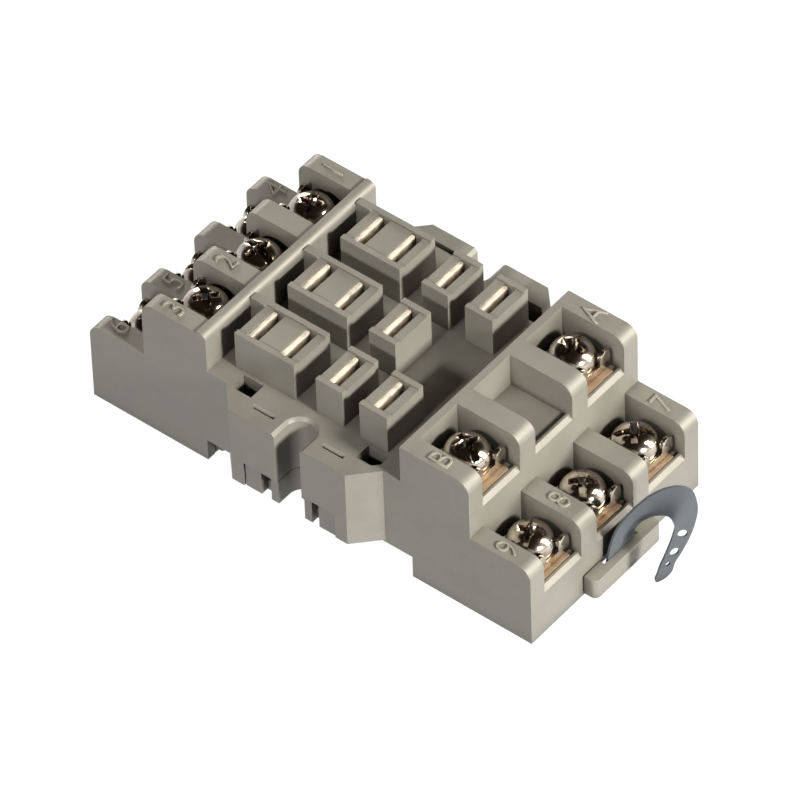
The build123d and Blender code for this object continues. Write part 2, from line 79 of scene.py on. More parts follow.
class Body(Enum):
    """The rigid bodies that pieces ride on."""

    SOCKET = "socket"
    LATCH = "latch"


def linear(code: str) -> tuple[float, float, float, float]:
    """Turn an sRGB hex colour into linear values.

    Args:
        code: the colour as #RRGGBB.

    Returns:
        Linear red, green, blue and an alpha of 1.
    """
    parts = [int(code[i : i + 2], 16) / 255 for i in (1, 3, 5)]
    red, green, blue = [p / 12.92 if p <= 0.04045 else ((p + 0.055) / 1.055) ** 2.4 for p in parts]
    return (red, green, blue, 1.0)


def add_node(tree: bpy.types.NodeTree, kind: str, inputs: dict | None = None, **settings) -> bpy.types.Node:
    """Add a node, set its properties, and set or link its inputs.

    Args:
        tree: the node tree that gets the node.
        kind: the node's type name.
        inputs: values or output sockets by input name or number.
        settings: properties of the node.

    Returns:
        The new node.
    """
    made = tree.nodes.new(kind)
    for name, value in settings.items():
        setattr(made, name, value)
    for key, value in (inputs or {}).items():
        if isinstance(value, bpy.types.NodeSocket):
            tree.links.new(value, made.inputs[key])
        else:
            made.inputs[key].default_value = value
    return made


def add_math(tree: bpy.types.NodeTree, operation: str, *values) -> bpy.types.NodeSocket:
    """Add a sum.

    Args:
        tree: the node tree that gets the node.
        operation: the sum's name.
        values: its numbers or sockets.

    Returns:
        The result's socket.
    """
    return add_node(tree, "ShaderNodeMath", dict(enumerate(values)), operation=operation).outputs[0]


def add_range(tree: bpy.types.NodeTree, value: bpy.types.NodeSocket, source: tuple[float, float],
              target: tuple[float, float]) -> bpy.types.NodeSocket:
    """Add a map from one range of numbers to another, held at its ends.

    Args:
        tree: the node tree that gets the node.
        value: the socket that is mapped.
        source: the two ends of the values that come in.
        target: what the two ends become.

    Returns:
        The result's socket.
    """
    ends = {"Value": value, "From Min": source[0], "From Max": source[1], "To Min": target[0], "To Max": target[1]}
    return add_node(tree, "ShaderNodeMapRange", ends).outputs["Result"]


def add_mix(tree: bpy.types.NodeTree, share: bpy.types.NodeSocket, under, over) -> bpy.types.NodeSocket:
    """Add a blend of two colours.

    Args:
        tree: the node tree that gets the node.
        share: how much of the second colour shows, from 0 to 1.
        under: the first colour or its socket.
        over: the second colour or its socket.

    Returns:
        The blended colour's socket.
    """
    return add_node(tree, "ShaderNodeMix", {0: share, 6: under, 7: over}, data_type="RGBA").outputs[2]


def add_noise(tree: bpy.types.NodeTree, place: bpy.types.NodeSocket, size_mm: float, detail: float,
              roughness: float) -> bpy.types.NodeSocket:
    """Add a cloudy pattern.

    Args:
        tree: the node tree that gets the node.
        place: the socket with the place on the piece.
        size_mm: the size of the largest clouds.
        detail: how many finer layers lie on them.
        roughness: how strong the finer layers are.

    Returns:
        The pattern's socket.
    """
    settings = {"Vector": place, "Scale": 1 / (size_mm * MM), "Detail": detail, "Roughness": roughness}
    return add_node(tree, "ShaderNodeTexNoise", settings).outputs["Fac"]


def add_ramp(tree: bpy.types.NodeTree, value: bpy.types.NodeSocket, *stops: tuple[float, str]) -> bpy.types.NodeSocket:
    """Add a run of colours.

    Args:
        tree: the node tree that gets the node.
        value: the socket that picks the place on the run.
        stops: each place and its hex colour, in rising order.

    Returns:
        The colour's socket.
    """
    ramp = add_node(tree, "ShaderNodeValToRGB", {"Fac": value})
    elements = ramp.color_ramp.elements
    for index, (position, colour) in ((0, stops[0]), (1, stops[-1])):
        elements[index].position = position
        elements[index].color = linear(colour)
    for position, colour in stops[1:-1]:
        elements.new(position).color = linear(colour)
    return ramp.outputs["Color"]


def new_material(name: str) -> tuple[bpy.types.Material, bpy.types.NodeTree, bpy.types.Node]:
    """Start a node material with one shader joined to its output.

    Args:
        name: the material's name.

    Returns:
        The material, its tree and its Principled shader.
    """
    material = bpy.data.materials.new(name)
    material.use_nodes = True
    tree = material.node_tree
    tree.nodes.clear()
    shader = add_node(tree, "ShaderNodeBsdfPrincipled")
    add_node(tree, "ShaderNodeOutputMaterial", {"Surface": shader.outputs[0]})
    return material, tree, shader


@dataclass(frozen=True)
class MouldedThermoplastic:
    """Glass-filled thermoplastic, injection moulded against a spark-eroded tool.

    The eye gets a satin surface with a fine pebble grain, slow cloudy changes of tone where the melt flowed,
    and painted shade in the corners.

    Attributes:
        name: the material's name.
        tone: the middle colour.
        pale: the colour of the light clouds.
        dusk: the colour of the dark clouds.
        corner_shade_colour: the colour of the painted shade in the corners.
        roughness: the middle roughness.
        grain_mm: the size of the grain.
        cloud_mm: the size of the clouds.
        grain_height_mm: the height of the grain.
        sheen: the strength of the mirror light at right angles.
        corner_mm: how far from a corner the painted shade starts.
        corner_shade_share: how much painted shade lies in the deepest corner.
        index: the refractive index.
    """

    name: str
    tone: str = "#8F8C83"
    pale: str = "#939087"
    dusk: str = "#8A877E"
    corner_shade_colour: str = "#3F3B33"
    roughness: float = 0.46
    grain_mm: float = 0.34
    cloud_mm: float = 7.0
    grain_height_mm: float = 0.014
    sheen: float = 0.5
    corner_mm: float = 4.0
    corner_shade_share: float = 0.8
    index: float = 1.52

    def build(self) -> bpy.types.Material:
        """Make the material.

        Returns:
            The material.
        """
        material, tree, shader = new_material(self.name)
        place = add_node(tree, "ShaderNodeTexCoord").outputs["Object"]
        # Slow clouds of tone where the melt flowed
        cloud = add_noise(tree, place, self.cloud_mm, 3.0, 0.55)
        tones = add_ramp(tree, cloud, (0.32, self.dusk), (0.50, self.tone), (0.70, self.pale))
        # The real grain is near 0.1 mm and would not show, so it is drawn three times as coarse
        grain = add_noise(tree, place, self.grain_mm, 2.0, 0.6)
        speck = add_range(tree, grain, (0.3, 0.7), (0.965, 1.03))
        speckled = add_node(tree, "ShaderNodeVectorMath", {0: tones, "Scale": speck}, operation="SCALE").outputs[0]
        # Painted shade, darker where the surroundings close in
        crevice = add_node(tree, "ShaderNodeAmbientOcclusion", {"Distance": self.corner_mm * MM},
                           samples=OCCLUSION_SAMPLES)
        corner = add_range(tree, crevice.outputs["AO"], (0.15, 0.70), (self.corner_shade_share, 0.0))
        tree.links.new(add_mix(tree, corner, speckled, linear(self.corner_shade_colour)), shader.inputs["Base Color"])
        gloss = add_range(tree, cloud, (0.3, 0.7), (self.roughness - 0.05, self.roughness + 0.06))
        tree.links.new(gloss, shader.inputs["Roughness"])
        bump = add_node(tree, "ShaderNodeBump",
                        {"Strength": 0.5, "Distance": self.grain_height_mm * MM, "Height": grain})
        tree.links.new(bump.outputs["Normal"], shader.inputs["Normal"])
        shader.inputs["IOR"].default_value = self.index
        shader.inputs["Specular IOR Level"].default_value = self.sheen
        return material


@dataclass(frozen=True)
class PlatedMetal:
    """Plated or bright metal.

    The eye gets a mirror skin with a faint orange-peel, slow stains, brown painted shade where parts meet, and on the
    contact strips a painted shade that starts some way out along the socket.

    Attributes:
        name: the material's name.
        tone: the clean colour.
        stain: the colour of the stains.
        roughness: the middle roughness.
        peel_mm: the size of the orange-peel.
        peel_height_mm: the height of the orange-peel.
        stain_mm: the size of the stains.
        crevice_shade: the colour of the painted shade where parts meet.
        crevice_mm: how far from another surface the painted shade starts.
        crevice_from: the openness below which the painted shade is full.
        crevice_to: the openness above which there is none.
        pocket_shade: the colour of the painted shade on the outer part, or nothing.
        pocket_shade_from_mm: the distance from the middle of the socket at which the painted shade starts.
        pocket_shade_fade_mm: how far it takes to become full.
    """

    name: str
    tone: str = "#CFC8BE"
    stain: str = "#A2968A"
    roughness: float = 0.14
    peel_mm: float = 0.7
    peel_height_mm: float = 0.022
    stain_mm: float = 2.2
    crevice_shade: str = "#2C1C12"
    crevice_mm: float = 1.3
    crevice_from: float = 0.25
    crevice_to: float = 0.80
    pocket_shade: str = ""
    pocket_shade_from_mm: float = 17.5
    pocket_shade_fade_mm: float = 1.0

    def build(self) -> bpy.types.Material:
        """Make the material.

        Returns:
            The material.
        """
        material, tree, shader = new_material(self.name)
        place = add_node(tree, "ShaderNodeTexCoord").outputs["Object"]
        stains = add_noise(tree, place, self.stain_mm, 4.0, 0.6)
        skin = add_ramp(tree, stains, (0.30, self.stain), (0.58, self.tone))
        # Painted shade on the strips out in the deep terminal pockets, darker beyond a distance along X
        if self.pocket_shade:
            along = add_node(tree, "ShaderNodeSeparateXYZ", {"Vector": place}).outputs["X"]
            ends = (self.pocket_shade_from_mm * MM, (self.pocket_shade_from_mm + self.pocket_shade_fade_mm) * MM)
            reach = add_range(tree, add_math(tree, "ABSOLUTE", along), ends, (0.0, 0.9))
            skin = add_mix(tree, reach, skin, linear(self.pocket_shade))
        # Painted shade where parts meet, darker where the surroundings close in
        crevice = add_node(tree, "ShaderNodeAmbientOcclusion", {"Distance": self.crevice_mm * MM},
                           samples=OCCLUSION_SAMPLES)
        depth = add_range(tree, crevice.outputs["AO"], (self.crevice_from, self.crevice_to), (0.9, 0.0))
        tree.links.new(add_mix(tree, depth, skin, linear(self.crevice_shade)), shader.inputs["Base Color"])
        shader.inputs["Metallic"].default_value = 1.0
        gloss = add_range(tree, stains, (0.3, 0.7), (self.roughness * 1.5, self.roughness * 0.8))
        tree.links.new(gloss, shader.inputs["Roughness"])
        peel = add_noise(tree, place, self.peel_mm, 2.0, 0.5)
        bump = add_node(tree, "ShaderNodeBump",
                        {"Strength": 0.35, "Distance": self.peel_height_mm * MM, "Height": peel})
        tree.links.new(bump.outputs["Normal"], shader.inputs["Normal"])
        return material


@dataclass
class Finishes:
    """Every finish of the socket, made once."""

    housing: bpy.types.Material = field(init=False)
    base: bpy.types.Material = field(init=False)
    latch: bpy.types.Material = field(init=False)
    nickel: bpy.types.Material = field(init=False)
    clamp: bpy.types.Material = field(init=False)
    tin: bpy.types.Material = field(init=False)
    figure_highlight: bpy.types.Material = field(init=False)
    strap: bpy.types.Material = field(init=False)
    spring: bpy.types.Material = field(init=False)

    def __post_init__(self) -> None:
        """Build the materials."""
        # Warm satin grey of the housing, a shade darker on the base plate and lighter on the latch
        self.housing = MouldedThermoplastic("moulded_polyester").build()
        self.base = MouldedThermoplastic("moulded_polyester_base", tone="#8A877E", pale="#8E8B82",
                                         dusk="#858279").build()
        self.latch = MouldedThermoplastic("moulded_polyester_latch", tone="#918E84", pale="#959288",
                                          dusk="#8C897F").build()
        # Bright, slightly warm mirror of the screws, with brown painted shade in the recesses
        self.nickel = PlatedMetal("nickel_plated_steel", tone="#C6BDB2", stain="#96877A").build()
        # The same plating on a pressed part: softer, with a coarser orange-peel
        self.clamp = PlatedMetal("nickel_plated_stamping", tone="#CBC3B6", stain="#A69A88", roughness=0.20,
                                 peel_mm=1.1).build()
        # Pale matt tin on the leaves in the slots, with brown painted shade out in the terminal pockets
        self.tin = PlatedMetal("tin_plated_brass", tone="#FFF9EE", stain="#F2E8D6", roughness=0.60,
                               peel_mm=0.5, stain_mm=1.6, crevice_shade="#54463A", crevice_mm=1.1, crevice_from=0.38,
                               crevice_to=0.52, pocket_shade="#8A7660").build()
        # Smoother, and lighter as a painted highlight where the raised figures catch the light
        self.figure_highlight = MouldedThermoplastic("moulded_polyester_painted_highlight", tone="#A6A296", pale="#ABA79B",
                                         dusk="#A09C90", corner_shade_colour="#5A564C", roughness=0.34).build()
        # Dull blue-grey of the strap, almost without a mirror light
        self.strap = MouldedThermoplastic("grey_polyamide", tone="#666C71", pale="#686E73", dusk="#646A6F",
                                          corner_shade_colour="#2E3032", roughness=0.7, sheen=0.15).build()
        # Bright rolled strip of the spring
        self.spring = PlatedMetal("bright_spring_steel", tone="#B9B6B0", stain="#8F8C86", roughness=0.28).build()


def from_shell(shell: bmesh.types.BMesh, name: str) -> bpy.types.Object:
    """Turn a shape under work into a new object.

    Args:
        shell: the shape, which is freed.
        name: the name of the object and of its mesh.

    Returns:
        The new object, linked to the scene.
    """
    mesh = bpy.data.meshes.new(name)
    shell.to_mesh(mesh)
    shell.free()
    made = bpy.data.objects.new(name, mesh)
    bpy.context.collection.objects.link(made)
    return made


def apply_modifiers(piece: bpy.types.Object) -> None:
    """Keep the mesh that a piece's modifiers make of it, and drop the modifiers.

    Args:
        piece: the object to change.
    """
    shaped = bpy.data.meshes.new_from_object(piece.evaluated_get(bpy.context.evaluated_depsgraph_get()))
    piece.modifiers.clear()
    piece.data = shaped


def take_node(node: str, name: str) -> bpy.types.Object:
    """Copy a CAD node's mesh into a new object, with its loose triangles joined into clean faces.

    Args:
        node: the CAD node to copy.
        name: the new object's name.

    Returns:
        The new object, not yet riding on a body.
    """
    shell = bmesh.new()
    shell.from_mesh(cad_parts[node].data)
    bmesh.ops.remove_doubles(shell, verts=shell.verts, dist=MERGE_MM * MM)
    bmesh.ops.dissolve_degenerate(shell, edges=shell.edges, dist=MERGE_MM * MM)
    bmesh.ops.dissolve_limit(shell, angle_limit=radians(FLAT_DEGREES), verts=shell.verts, edges=shell.edges)
    return from_shell(shell, name)


def soften(piece: bpy.types.Object, width_mm: float, segments: int = 2, sharp: float = 32.0) -> None:
    """Round a piece's sharp edges as a mould or a tumbled part has them, and shade it smoothly.

    Args:
        piece: the object to change.
        width_mm: how far the rounding reaches from the edge.
        segments: faces across the rounding.
        sharp: the angle in degrees above which an edge is rounded.
    """
    shell = bmesh.new()
    shell.from_mesh(piece.data)
    edges = [e for e in shell.edges if len(e.link_faces) == 2 and e.calc_face_angle(0) > radians(sharp)]
    bmesh.ops.bevel(shell, geom=edges, offset=width_mm * MM, offset_type="OFFSET", segments=segments,
                    profile=0.5, affect="EDGES", clamp_overlap=True, harden_normals=False)
    bmesh.ops.triangulate(shell, faces=[f for f in shell.faces if len(f.verts) > 4])
    shell.to_mesh(piece.data)
    shell.free()
    piece.data.shade_smooth()
    piece.data.set_sharp_from_angle(angle=radians(SMOOTH_DEGREES))
    flats = piece.modifiers.new("flat_faces", "WEIGHTED_NORMAL")
    flats.keep_sharp = True
    flats.weight = 100
    apply_modifiers(piece)


def finish_piece(piece: bpy.types.Object, material: bpy.types.Material, body: str, slot: str,
                 *nodes: str) -> bpy.types.Object:
    """Give a finished piece its material and its body, and hide the CAD nodes that it stands for.

    Args:
        piece: the object to dress.
        material: its only material.
        body: the body that it rides on.
        slot: not used.
        nodes: the CAD nodes that it replaces, if any.

    Returns:
        The same object.
    """
    piece.data.materials.clear()
    piece.data.materials.append(material)
    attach(piece, body)
    if nodes:
        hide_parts(*nodes)
    log.info("%s on %s: %d faces", piece.name, body, len(piece.data.polygons))
    return piece


@dataclass
class Moulding:
    """A piece with the CAD solid's form and the small edge radii of its tool.

    Attributes:
        node: the CAD node that it copies and replaces.
        name: the piece's name.
        slot: the record's material slot.
        body: the body that it rides on.
        material: its finish.
        edge_mm: how far the rounding reaches from each edge.
        segments: faces across the rounding.
    """

    node: str
    name: str
    slot: str
    body: str
    material: bpy.types.Material
    edge_mm: float = 0.14
    segments: int = 2

    def build(self) -> bpy.types.Object:
        """Copy the solid, round its edges and dress it.

        Returns:
            The finished piece.
        """
        piece = take_node(self.node, self.name)
        soften(piece, self.edge_mm, self.segments)
        return finish_piece(piece, self.material, self.body, self.slot, self.node)


@dataclass
class HungStrap:
    """The thin strap, which stands across its slot, arches outwards and turns over as it hangs down.

    Attributes:
        material: its finish.
        rows: points of the first edge and the opposite points of the second one, in mm, from the lower end in
            the slot up the rise, over the arch and down to the tip.
        holes: each hole's row, its share of the width and its half width in mm.
        long_holes: how much longer the holes are along the strap than across it.
        thickness: the strap's thickness in mm.
        steps: lengths between two rows.
        strips: widths between the edges.
        near: how far along the rows the neighbours lie that give the strap's slope.
        inset: how far the first and last cross-line stay inside the rows.
        hole_facets: sides round each hole.
        crease: the angle in degrees above which an edge stays sharp.
    """

    material: bpy.types.Material
    rows: tuple[tuple[Point, Point], ...] = (
        ((40.825, -3.0, -3.4), (40.825, 3.0, -3.4)), ((40.825, -3.0, 0.0), (40.825, 3.0, 0.0)),
        ((41.6, -3.0, 4.05), (41.0, 2.9, 1.2)), ((42.6, -3.0, 7.4), (41.5, 2.75, 2.6)),
        ((43.8, -2.6, 10.2), (42.4, 2.4, 4.3)), ((45.4, -1.8, 13.1), (43.9, 2.0, 6.3)),
        ((47.0, -0.8, 15.4), (45.3, 1.65, 8.0)), ((48.8, 0.4, 17.0), (47.2, 1.2, 9.8)),
        ((50.4, 1.4, 17.6), (48.6, 0.9, 10.8)), ((51.5, 2.1, 17.2), (49.5, 0.65, 11.1)),
        ((52.1, 2.6, 16.0), (50.0, 0.45, 10.9)), ((52.4, 2.9, 13.4), (50.3, 0.3, 10.1)),
        ((51.95, 2.8, 10.0), (50.1, 0.1, 8.4)), ((51.1, 2.4, 6.5), (49.5, -0.1, 5.9)),
        ((50.1, 1.9, 3.4), (48.9, -0.35, 3.6)), ((49.3, 1.6, 1.3), (48.3, -0.5, 1.6)),
        ((48.8, 1.5, -0.8), (47.8, -0.5, -0.4)), ((47.9, 1.2, -2.5), (47.2, -0.3, -2.1)),
        ((47.0, 0.7, -3.5), (46.8, 0.4, -3.4)))
    holes: tuple[Point, ...] = ((12.3, 0.5, 0.72), (13.7, 0.5, 0.72), (15.0, 0.5, 0.42))
    long_holes: float = 1.45
    thickness: float = 0.35
    steps: int = 6
    strips: int = 8
    near: float = 0.05
    inset: float = 0.001
    hole_facets: int = 32
    crease: float = 40

    def edge(self, side: int, at: float) -> Vector:
        """Find a point of one edge, on a smooth curve through the rows.

        Args:
            side: 0 for the first edge, 1 for the second.
            at: the place along the strap, counted in rows.

        Returns:
            The point in mm.
        """
        last = len(self.rows) - 1
        row = min(int(at), last - 1)
        part = at - row
        before, start, end, after = (Vector(self.rows[min(max(i, 0), last)][side]) for i in range(row - 1, row + 3))
        return 0.5 * (2 * start + (end - before) * part + (2 * before - 5 * start + 4 * end - after) * part ** 2
                      + (3 * start - before - 3 * end + after) * part ** 3)

    def spot(self, at: float, share: float) -> tuple[Vector, Vector]:
        """Find a point in the middle of the strap's thickness.

        Args:
            at: the place along the strap, counted in rows.
            share: the place across it, from 0 at the first edge to 1 at the second.

        Returns:
            The point in mm and the strap's normal there.
        """
        ahead = self.edge(0, at + self.near).lerp(self.edge(1, at + self.near), share)
        back = self.edge(0, at - self.near).lerp(self.edge(1, at - self.near), share)
        wide = self.edge(1, at) - self.edge(0, at)
        return self.edge(0, at).lerp(self.edge(1, at), share), (ahead - back).cross(wide).normalized()

    def strip(self) -> bpy.types.Object:
        """Lay both faces of the strap and close its rim.

        Returns:
            The strap without its holes.
        """
        shell = bmesh.new()
        last = len(self.rows) - 1
        grid = []
        for step in range(last * self.steps + 1):
            at = min(max(step / self.steps, self.inset), last - self.inset)
            line = []
            for part in range(self.strips + 1):
                place, normal = self.spot(at, part / self.strips)
                line.append([shell.verts.new((place + normal * self.thickness * half) * MM) for half in (-0.5, 0.5)])
            grid.append(line)
        for near, far in zip(grid, grid[1:]):
            for a, b, c, d in zip(near, near[1:], far[1:], far):
                shell.faces.new((a[0], b[0], c[0], d[0]))
                shell.faces.new((d[1], c[1], b[1], a[1]))
            for a, b in ((near[0], far[0]), (far[-1], near[-1])):
                shell.faces.new((a[0], b[0], b[1], a[1]))
        for line, way in ((grid[0], 1), (grid[-1], -1)):
            for a, b in zip(line, line[1:]):
                shell.faces.new((a[0], a[1], b[1], b[0])[::way])
        bmesh.ops.recalc_face_normals(shell, faces=shell.faces)
        return from_shell(shell, "strap_strip")

    def pierce(self, piece: bpy.types.Object, at: float, share: float, radius: float) -> None:
        """Cut one oval hole.

        Args:
            piece: the strap.
            at: the hole's place along the strap, counted in rows.
            share: its place across the strap.
            radius: half of its width in mm.
        """
        place, normal = self.spot(at, share)
        wide = (self.edge(1, at) - self.edge(0, at)).normalized()
        turn = Matrix((wide * radius, normal.cross(wide) * radius * self.long_holes, normal)).transposed()
        punch = bmesh.new()
        bmesh.ops.create_cone(punch, cap_ends=True, segments=self.hole_facets, radius1=MM, radius2=MM, depth=2 * MM,
                              matrix=Matrix.Translation(place * MM) @ turn.to_4x4())
        tool = from_shell(punch, "punch")
        cut = piece.modifiers.new("hole", "BOOLEAN")
        cut.operation, cut.solver, cut.object = "DIFFERENCE", "EXACT", tool
        apply_modifiers(piece)
        bpy.data.objects.remove(tool)

    def build(self) -> bpy.types.Object:
        """Make the strap with its holes and dress it.

        Returns:
            The finished piece.
        """
        piece = self.strip()
        for at, share, radius in self.holes:
            self.pierce(piece, at, share, radius)
        piece.data.shade_smooth()
        piece.data.set_sharp_from_angle(angle=radians(self.crease))
        return finish_piece(piece, self.material, Body.LATCH.value, "grey_strap", "hold_down_strap")


@dataclass
class TerminalScrews:
    """The eleven terminal screws, all one pressing set out on the axes of the CAD screws. All lengths are in mm.

    Attributes:
        turns: how far each screw is turned, in degrees, by the terminal's key.
        material: the finish of the screws.
        head_radius: the head's radius.
        head_height: the head's height in the middle.
        edge_height: the height at which the dome starts.
        dome_steps: rings over the dome.
        dome_power: how full the dome is: below 1 is fuller than a circle.
        rim_chamfer: the chamfer under the head's rim.
        head_inset: how far the head stays under the top of the CAD head.
        shank_radius: the radius of the shank between the thread's ridges.
        shank_length: the length under the head.
        tip_chamfer: the chamfer at the tip.
        thread_radius: the radius over the thread's ridges.
        thread_pitch: the thread's pitch.
        plain_length: the length under the head that has no thread.
        thread_drop: how far down the thread starts, in thread lengths.
        slot_width: the width of the straight slot.
        slot_depth: its depth.
        cross_length: the length of each arm pair of the cross recess at its mouth.
        cross_width: the width of an arm at its mouth.
        cross_depth: the depth of the recess.
        cross_foot: the length of the arms at their foot, as a share of the length at the mouth.
        cross_taper: the width of the arms at their foot, as a share of the width at the mouth.
        above: how far the cutters stand out above the head.
        round_mm: the rounding of every edge.
        facets: sides round the screw.
        round_from: the angle in degrees above which an edge is rounded.
        crease: the angle in degrees above which an edge stays sharp.
        thread_steps: lengths in one turn of the thread.
        ridge_sides: sides of the thread's ridge.
    """

    turns: dict[str, float]
    material: bpy.types.Material
    head_radius: float = 3.56
    head_height: float = 3.25
    edge_height: float = 0.85
    dome_steps: int = 12
    dome_power: float = 0.72
    rim_chamfer: float = 0.12
    head_inset: float = 0.03
    shank_radius: float = 1.45
    shank_length: float = 5.55
    tip_chamfer: float = 0.3
    thread_radius: float = 1.68
    thread_pitch: float = 0.6
    plain_length: float = 0.9
    thread_drop: float = 1.06
    slot_width: float = 1.15
    slot_depth: float = 1.1
    cross_length: float = 5.0
    cross_width: float = 1.25
    cross_depth: float = 2.1
    cross_foot: float = 0.45
    cross_taper: float = 0.7
    above: float = 0.5
    round_mm: float = 0.13
    facets: int = 48
    round_from: float = 38
    crease: float = 35
    thread_steps: int = 20
    ridge_sides: int = 4

    def turned_blank(self) -> bpy.types.Object:
        """Lathe the domed head and the shank.

        Returns:
            The blank, without its recesses.
        """
        crown = []
        for step in range(self.dome_steps + 1):
            angle = pi / 2 * step / self.dome_steps
            radius = self.head_radius * cos(angle) ** self.dome_power if step < self.dome_steps else 0.0
            height = self.edge_height + (self.head_height - self.edge_height) * sin(angle)
            crown.append((radius, height))
        profile = [(0.0, -self.shank_length), (self.shank_radius - self.tip_chamfer, -self.shank_length),
                   (self.shank_radius, -self.shank_length + self.tip_chamfer), (self.shank_radius, 0.0),
                   (self.head_radius - self.rim_chamfer, 0.0), (self.head_radius, self.rim_chamfer)] + crown
        shell = bmesh.new()
        rings = []
        for radius, height in profile:
            if radius == 0.0:
                rings.append([shell.verts.new((0, 0, height * MM))])
                continue
            rings.append([shell.verts.new((radius * cos(2 * pi * i / self.facets) * MM,
                                           radius * sin(2 * pi * i / self.facets) * MM, height * MM))
                          for i in range(self.facets)])
        for low, high in zip(rings, rings[1:]):
            for i in range(self.facets):
                after = (i + 1) % self.facets
                corners = [low[i % len(low)], low[after % len(low)], high[after % len(high)], high[i % len(high)]]
                shell.faces.new(list(dict.fromkeys(corners)))
        bmesh.ops.recalc_face_normals(shell, faces=shell.faces)
        return from_shell(shell, "screw_blank")

    def cross_cutter(self) -> bpy.types.Object:
        """Make the tool that sinks the cross recess.

        Returns:
            The cutter: two tapered bars across each other.
        """
        shell = bmesh.new()
        top = self.head_height + self.above
        for turn in (0, 1):
            for vert in bmesh.ops.create_cube(shell, size=1.0)["verts"]:
                grow = 1.0 if vert.co.z > 0 else self.cross_foot
                wide = self.cross_width * (1.0 if vert.co.z > 0 else self.cross_taper)
                x, y = vert.co.x * self.cross_length * grow, vert.co.y * wide
                z = top if vert.co.z > 0 else self.head_height - self.cross_depth
                vert.co = Vector((x, y, z) if turn == 0 else (-y, x, z)) * MM
        return from_shell(shell, "screw_cutter")

    def slot_cutter(self) -> bpy.types.Object:
        """Make the saw that cuts the straight slot right across the head.

        Returns:
            The cutter: one bar.
        """
        shell = bmesh.new()
        bmesh.ops.create_cube(shell, size=1.0)
        low, top = self.head_height - self.slot_depth, self.head_height + self.above
        for vert in shell.verts:
            vert.co = Vector((vert.co.x * self.slot_width, vert.co.y * (2 * self.head_radius + 1),
                              low if vert.co.z < 0 else top)) * MM
        return from_shell(shell, "slot_cutter")

    def pattern(self) -> bpy.types.Object:
        """Make the one screw that the others repeat.

        Returns:
            The screw with its recesses, without its thread.
        """
        blank = self.turned_blank()
        cutters = [self.cross_cutter(), self.slot_cutter()]
        for cutter in cutters:
            cut = blank.modifiers.new(cutter.name, "BOOLEAN")
            cut.object = cutter
            cut.solver = "EXACT"
            cut.use_self = True
        round_over = blank.modifiers.new("round_over", "BEVEL")
        round_over.width = self.round_mm * MM
        round_over.segments = 2
        round_over.limit_method = "ANGLE"
        round_over.angle_limit = radians(self.round_from)
        apply_modifiers(blank)
        for cutter in cutters:
            bpy.data.objects.remove(cutter)
        blank.data.shade_smooth()
        blank.data.set_sharp_from_angle(angle=radians(self.crease))
        return blank

    def thread_tree(self) -> bpy.types.NodeTree:
        """Make the nodes that add a rolled thread to the blank and set the screw out at each point.

        Returns:
            The node tree.
        """
        tree = bpy.data.node_groups.new("threaded_screws", "GeometryNodeTree")
        face = tree.interface
        face.new_socket("Geometry", in_out="INPUT", socket_type="NodeSocketGeometry")
        face.new_socket("Blank", in_out="INPUT", socket_type="NodeSocketObject")
        for label in ("Thread pitch", "Thread radius", "Core radius", "Thread length", "Turn"):
            face.new_socket(label, in_out="INPUT", socket_type="NodeSocketFloat")
        face.new_socket("Finish", in_out="INPUT", socket_type="NodeSocketMaterial")
        face.new_socket("Geometry", in_out="OUTPUT", socket_type="NodeSocketGeometry")
        given = add_node(tree, "NodeGroupInput").outputs
        turns = add_math(tree, "DIVIDE", given["Thread length"], given["Thread pitch"])
        helix = add_node(tree, "GeometryNodeCurveSpiral",
                         {"Resolution": self.thread_steps, "Rotations": turns, "Start Radius": given["Core radius"],
                          "End Radius": given["Core radius"], "Height": given["Thread length"]})
        depth = add_math(tree, "SUBTRACT", given["Thread radius"], given["Core radius"])
        ridge = add_node(tree, "GeometryNodeCurvePrimitiveCircle", {"Resolution": self.ridge_sides, "Radius": depth})
        sweep = add_node(tree, "GeometryNodeCurveToMesh",
                         {"Curve": helix.outputs[0], "Profile Curve": ridge.outputs[0], "Fill Caps": True})
        drop = add_math(tree, "MULTIPLY", given["Thread length"], -self.thread_drop)
        below = add_node(tree, "ShaderNodeCombineXYZ", {"Z": drop})
        hung = add_node(tree, "GeometryNodeTransform",
                        {"Geometry": sweep.outputs[0], "Translation": below.outputs[0]})
        blank = add_node(tree, "GeometryNodeObjectInfo", {"Object": given["Blank"]})
        screw = add_node(tree, "GeometryNodeJoinGeometry")
        tree.links.new(hung.outputs[0], screw.inputs[0])
        tree.links.new(blank.outputs["Geometry"], screw.inputs[0])
        spin = add_node(tree, "ShaderNodeCombineXYZ", {"Z": given["Turn"]})
        placed = add_node(tree, "GeometryNodeInstanceOnPoints",
                          {"Points": given["Geometry"], "Instance": screw.outputs[0],
                           "Rotation": spin.outputs[0]})
        whole = add_node(tree, "GeometryNodeRealizeInstances", {"Geometry": placed.outputs[0]})
        dressed = add_node(tree, "GeometryNodeSetMaterial",
                           {"Geometry": whole.outputs[0], "Material": given["Finish"]})
        add_node(tree, "NodeGroupOutput", {"Geometry": dressed.outputs[0]})
        return tree

